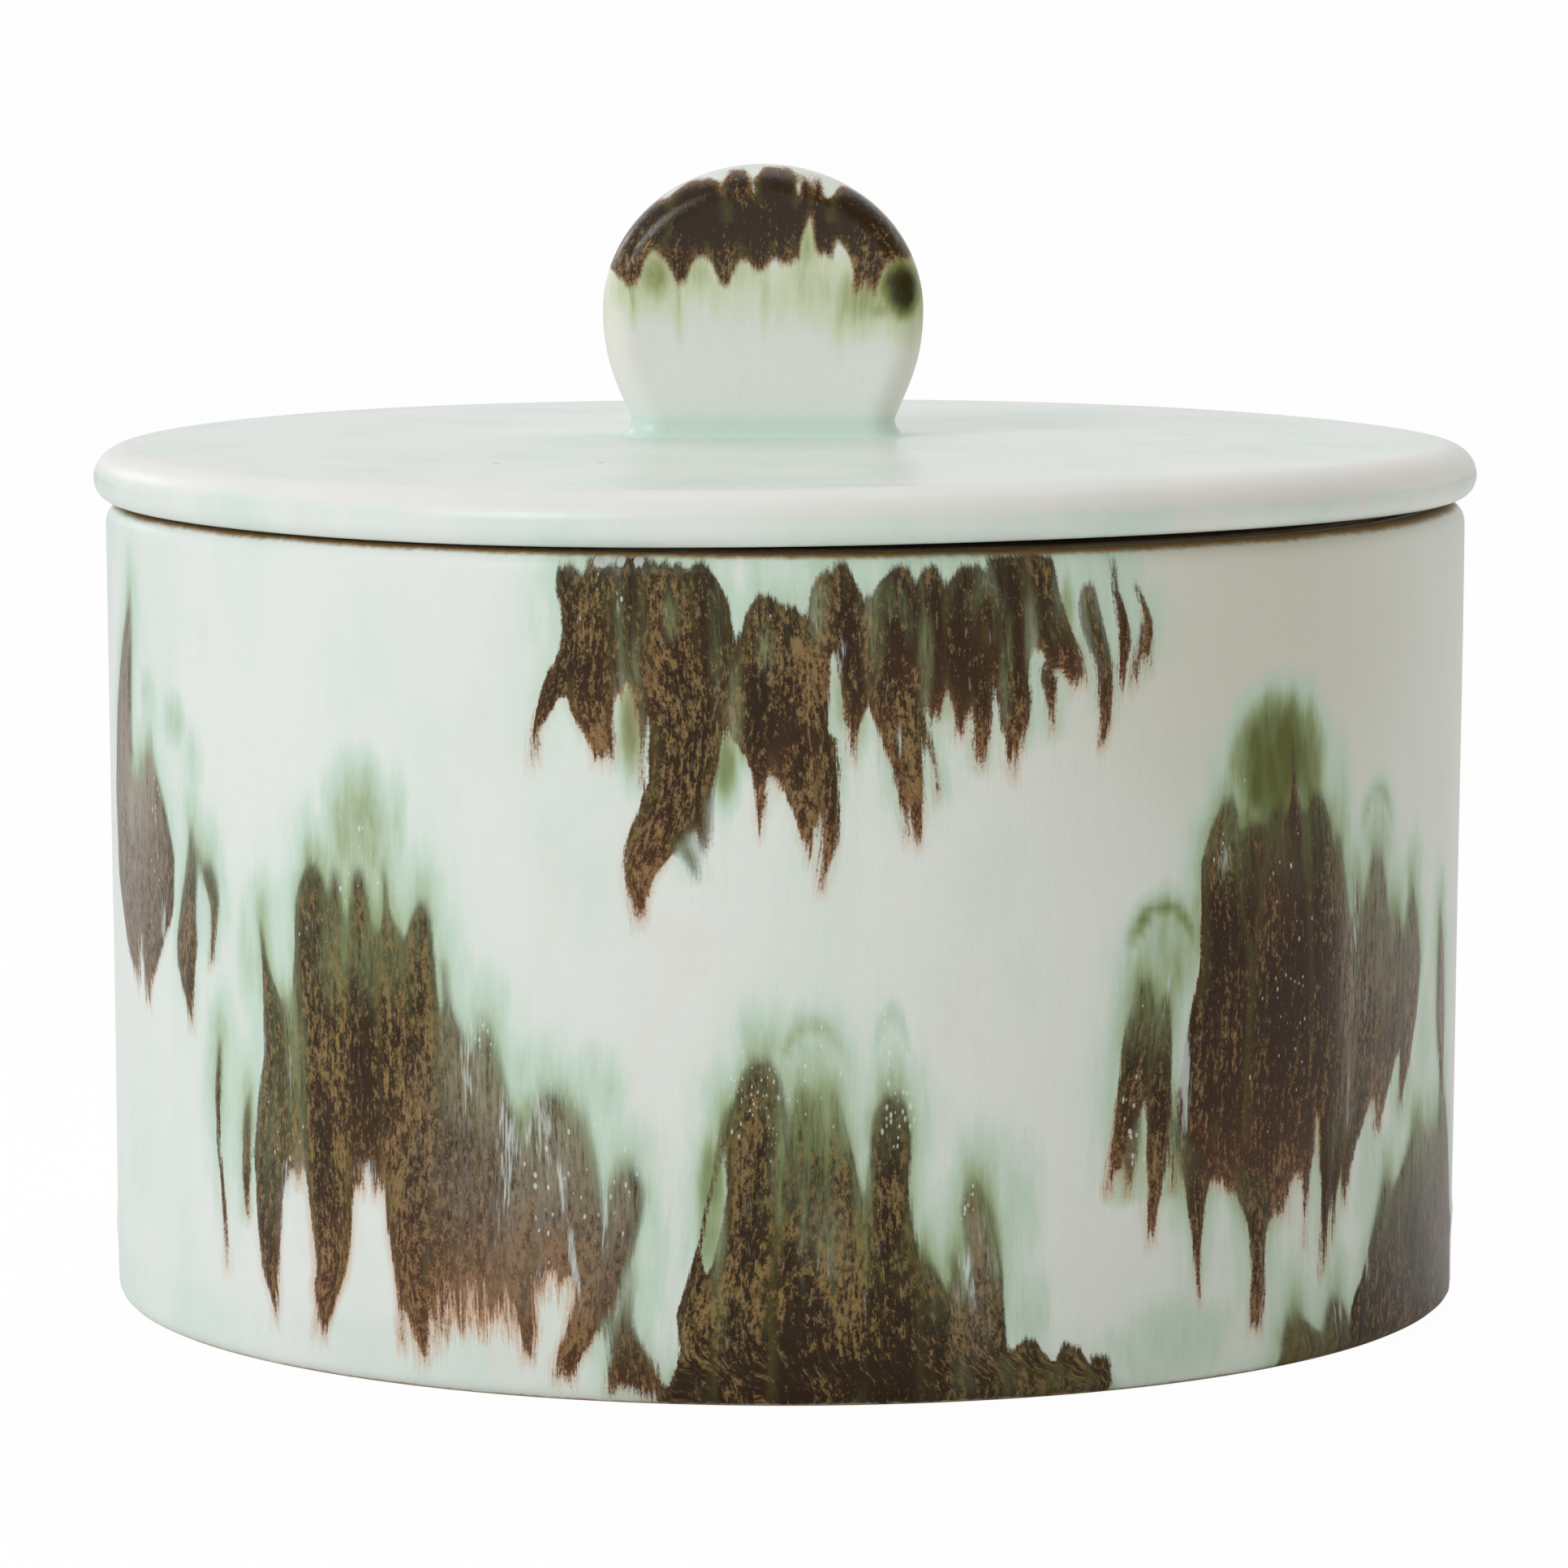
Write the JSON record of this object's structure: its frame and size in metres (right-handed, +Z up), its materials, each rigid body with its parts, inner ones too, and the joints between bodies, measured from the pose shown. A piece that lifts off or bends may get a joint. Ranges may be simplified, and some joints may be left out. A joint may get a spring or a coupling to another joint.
{
  "type": "cookie jar",
  "caption": "Round stoneware cookie jar with straight walls, an overhanging flat lid, and an upright round slab knob.",
  "frame": {"origin": "centre of the foot's plane, on the pot's axis", "axes": "+Z up along the pot's axis, -Y towards the viewer of the knob's broad front face, +X to that viewer's right"},
  "size_m": [0.1644, 0.1644, 0.1346],
  "materials": {
    "jar_glaze": "satin pale mint glaze with dark brown and olive runs",
    "lid_glaze": "satin pale mint glaze",
    "bare_clay": "unglazed fired clay",
    "knob_glaze": "satin pale mint glaze, dark brown over the top"
  },
  "bodies": {
    "jar": {"jar_body": "jar_glaze"},
    "lid": {"lid_plate": "lid_glaze", "lid_ring": "bare_clay", "lid_knob": "knob_glaze"}
  },
  "joints": [
    {"name": "lid_lift", "type": "slide", "parent": "jar", "child": "lid", "axis": [0, 0, 1], "range_m": [0, 0.12]}
  ]
}
